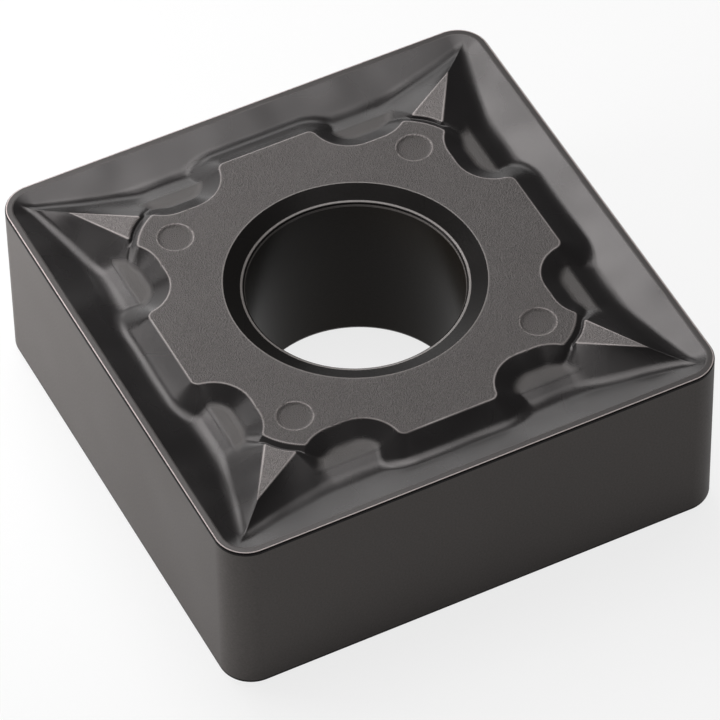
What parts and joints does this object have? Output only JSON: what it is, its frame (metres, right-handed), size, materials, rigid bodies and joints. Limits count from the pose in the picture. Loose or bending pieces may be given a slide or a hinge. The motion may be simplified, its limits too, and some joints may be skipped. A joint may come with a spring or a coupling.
{
  "type": "carbide insert",
  "caption": "Square double-sided turning insert with rounded noses, honed cutting edges, a pressed chipbreaker on each face and a countersunk clamping bore.",
  "frame": {"origin": "on the bore's axis, in the lower seat plane", "axes": "+Z along the bore, +X and +Y square to the flanks"},
  "size_m": [0.0126, 0.0126, 0.0048],
  "materials": {
    "carbide": "satin, dark grey coated cemented carbide"
  },
  "bodies": {
    "root": {"insert": "carbide"}
  },
  "joints": []
}
